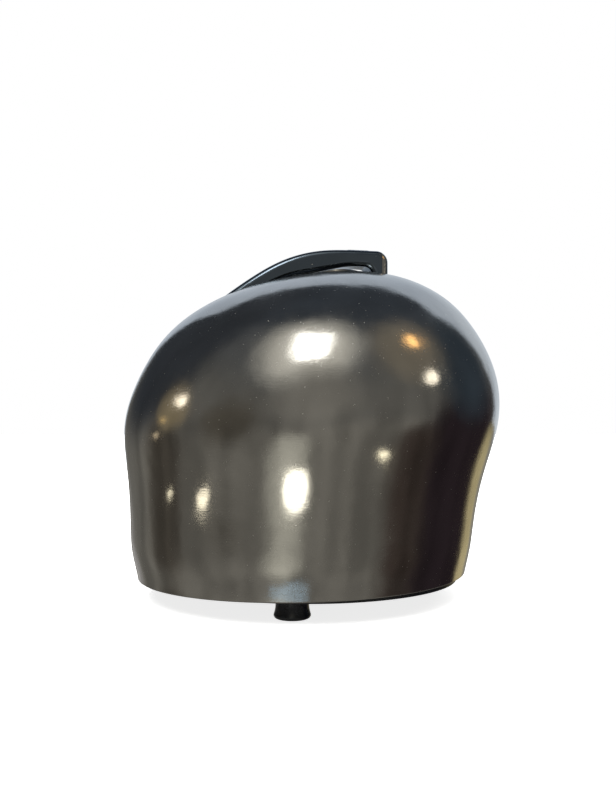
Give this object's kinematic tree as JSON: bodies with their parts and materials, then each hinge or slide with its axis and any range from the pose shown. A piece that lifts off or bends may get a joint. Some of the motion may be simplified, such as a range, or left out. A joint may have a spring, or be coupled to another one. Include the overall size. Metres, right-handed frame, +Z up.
{
  "type": "electric kettle",
  "caption": "Polished steel dome kettle with arched top handle, trigger-opened pouring flap, rear appliance inlet and feet.",
  "frame": {"origin": "on the table under the middle of the footprint", "axes": "+Z up, +X towards the pouring flap, +Y towards the switch side"},
  "size_m": [0.2214, 0.22, 0.2059],
  "materials": {
    "polished_steel": "polished stainless",
    "plain_steel": "mill",
    "brass": "plain",
    "black_moulding": "fine texture",
    "pale_moulding": "matt",
    "foot_rubber": "moulded",
    "silicone": "translucent",
    "red_lens": "clear",
    "lamp_glass": "clear",
    "wire_live": "insulation",
    "wire_neutral": "insulation",
    "wire_earth": "insulation"
  },
  "bodies": {
    "kettle": {"shell": "polished_steel", "finger_well": "polished_steel", "mouth_ring": "black_moulding", "lid_hinge_pin": "plain_steel", "lid_spring": "plain_steel", "handle": "polished_steel", "handle_end_cap": "polished_steel", "trigger_spring": "plain_steel", "stem_seal": "silicone", "support_ring": "plain_steel", "floor_gasket": "silicone", "heating_plate": "plain_steel", "heating_element": "plain_steel", "element_terminals": "brass", "thermostat_body": "pale_moulding", "bimetal_disc": "brass", "boil_dry_cutout": "pale_moulding", "steam_tube": "silicone", "steam_seal": "silicone", "base_pan": "black_moulding", "chassis": "pale_moulding", "foot_screws": "plain_steel", "base_screws": "plain_steel", "inlet_housing": "black_moulding", "switch_housing": "black_moulding", "lamp_lens": "red_lens", "lamp": "lamp_glass", "foot_left": "foot_rubber", "foot_right": "foot_rubber", "foot_front": "foot_rubber", "pin_live": "brass", "pin_neutral": "brass", "pin_earth": "brass", "wire_live": "wire_live", "wire_neutral": "wire_neutral", "wire_earth": "wire_earth"},
    "lid": {"lid_skin": "polished_steel", "lid_liner": "black_moulding", "lid_gasket": "silicone", "lid_screws": "plain_steel"},
    "trigger": {"trigger_button": "polished_steel", "trigger_stem": "plain_steel"},
    "rocker": {"rocker": "black_moulding"}
  },
  "joints": [
    {"name": "lid_hinge", "type": "hinge", "parent": "kettle", "child": "lid", "pos_m": [0.05057, 0, 0.18273], "axis": [0, -1, 0], "range_deg": [0, 25.3], "stiffness_Nm_per_rad": 0.05, "springref_deg": -14.32},
    {"name": "trigger_press", "type": "slide", "parent": "kettle", "child": "trigger", "axis": [0, 0, -1], "range_m": [0, 0.0039], "stiffness_N_per_m": 20, "springref_m": -0.002, "deforming": ["trigger_spring"]},
    {"name": "power_rocker", "type": "hinge", "parent": "kettle", "child": "rocker", "pos_m": [0.0369, 0.08097, 0.04], "axis": [-0.8829, 0.4695, 0], "range_deg": [0, 20]}
  ],
  "couplings": [
    {"joint": "trigger_press", "follows": "lid_hinge", "m_per_rad": 0.0088}
  ]
}
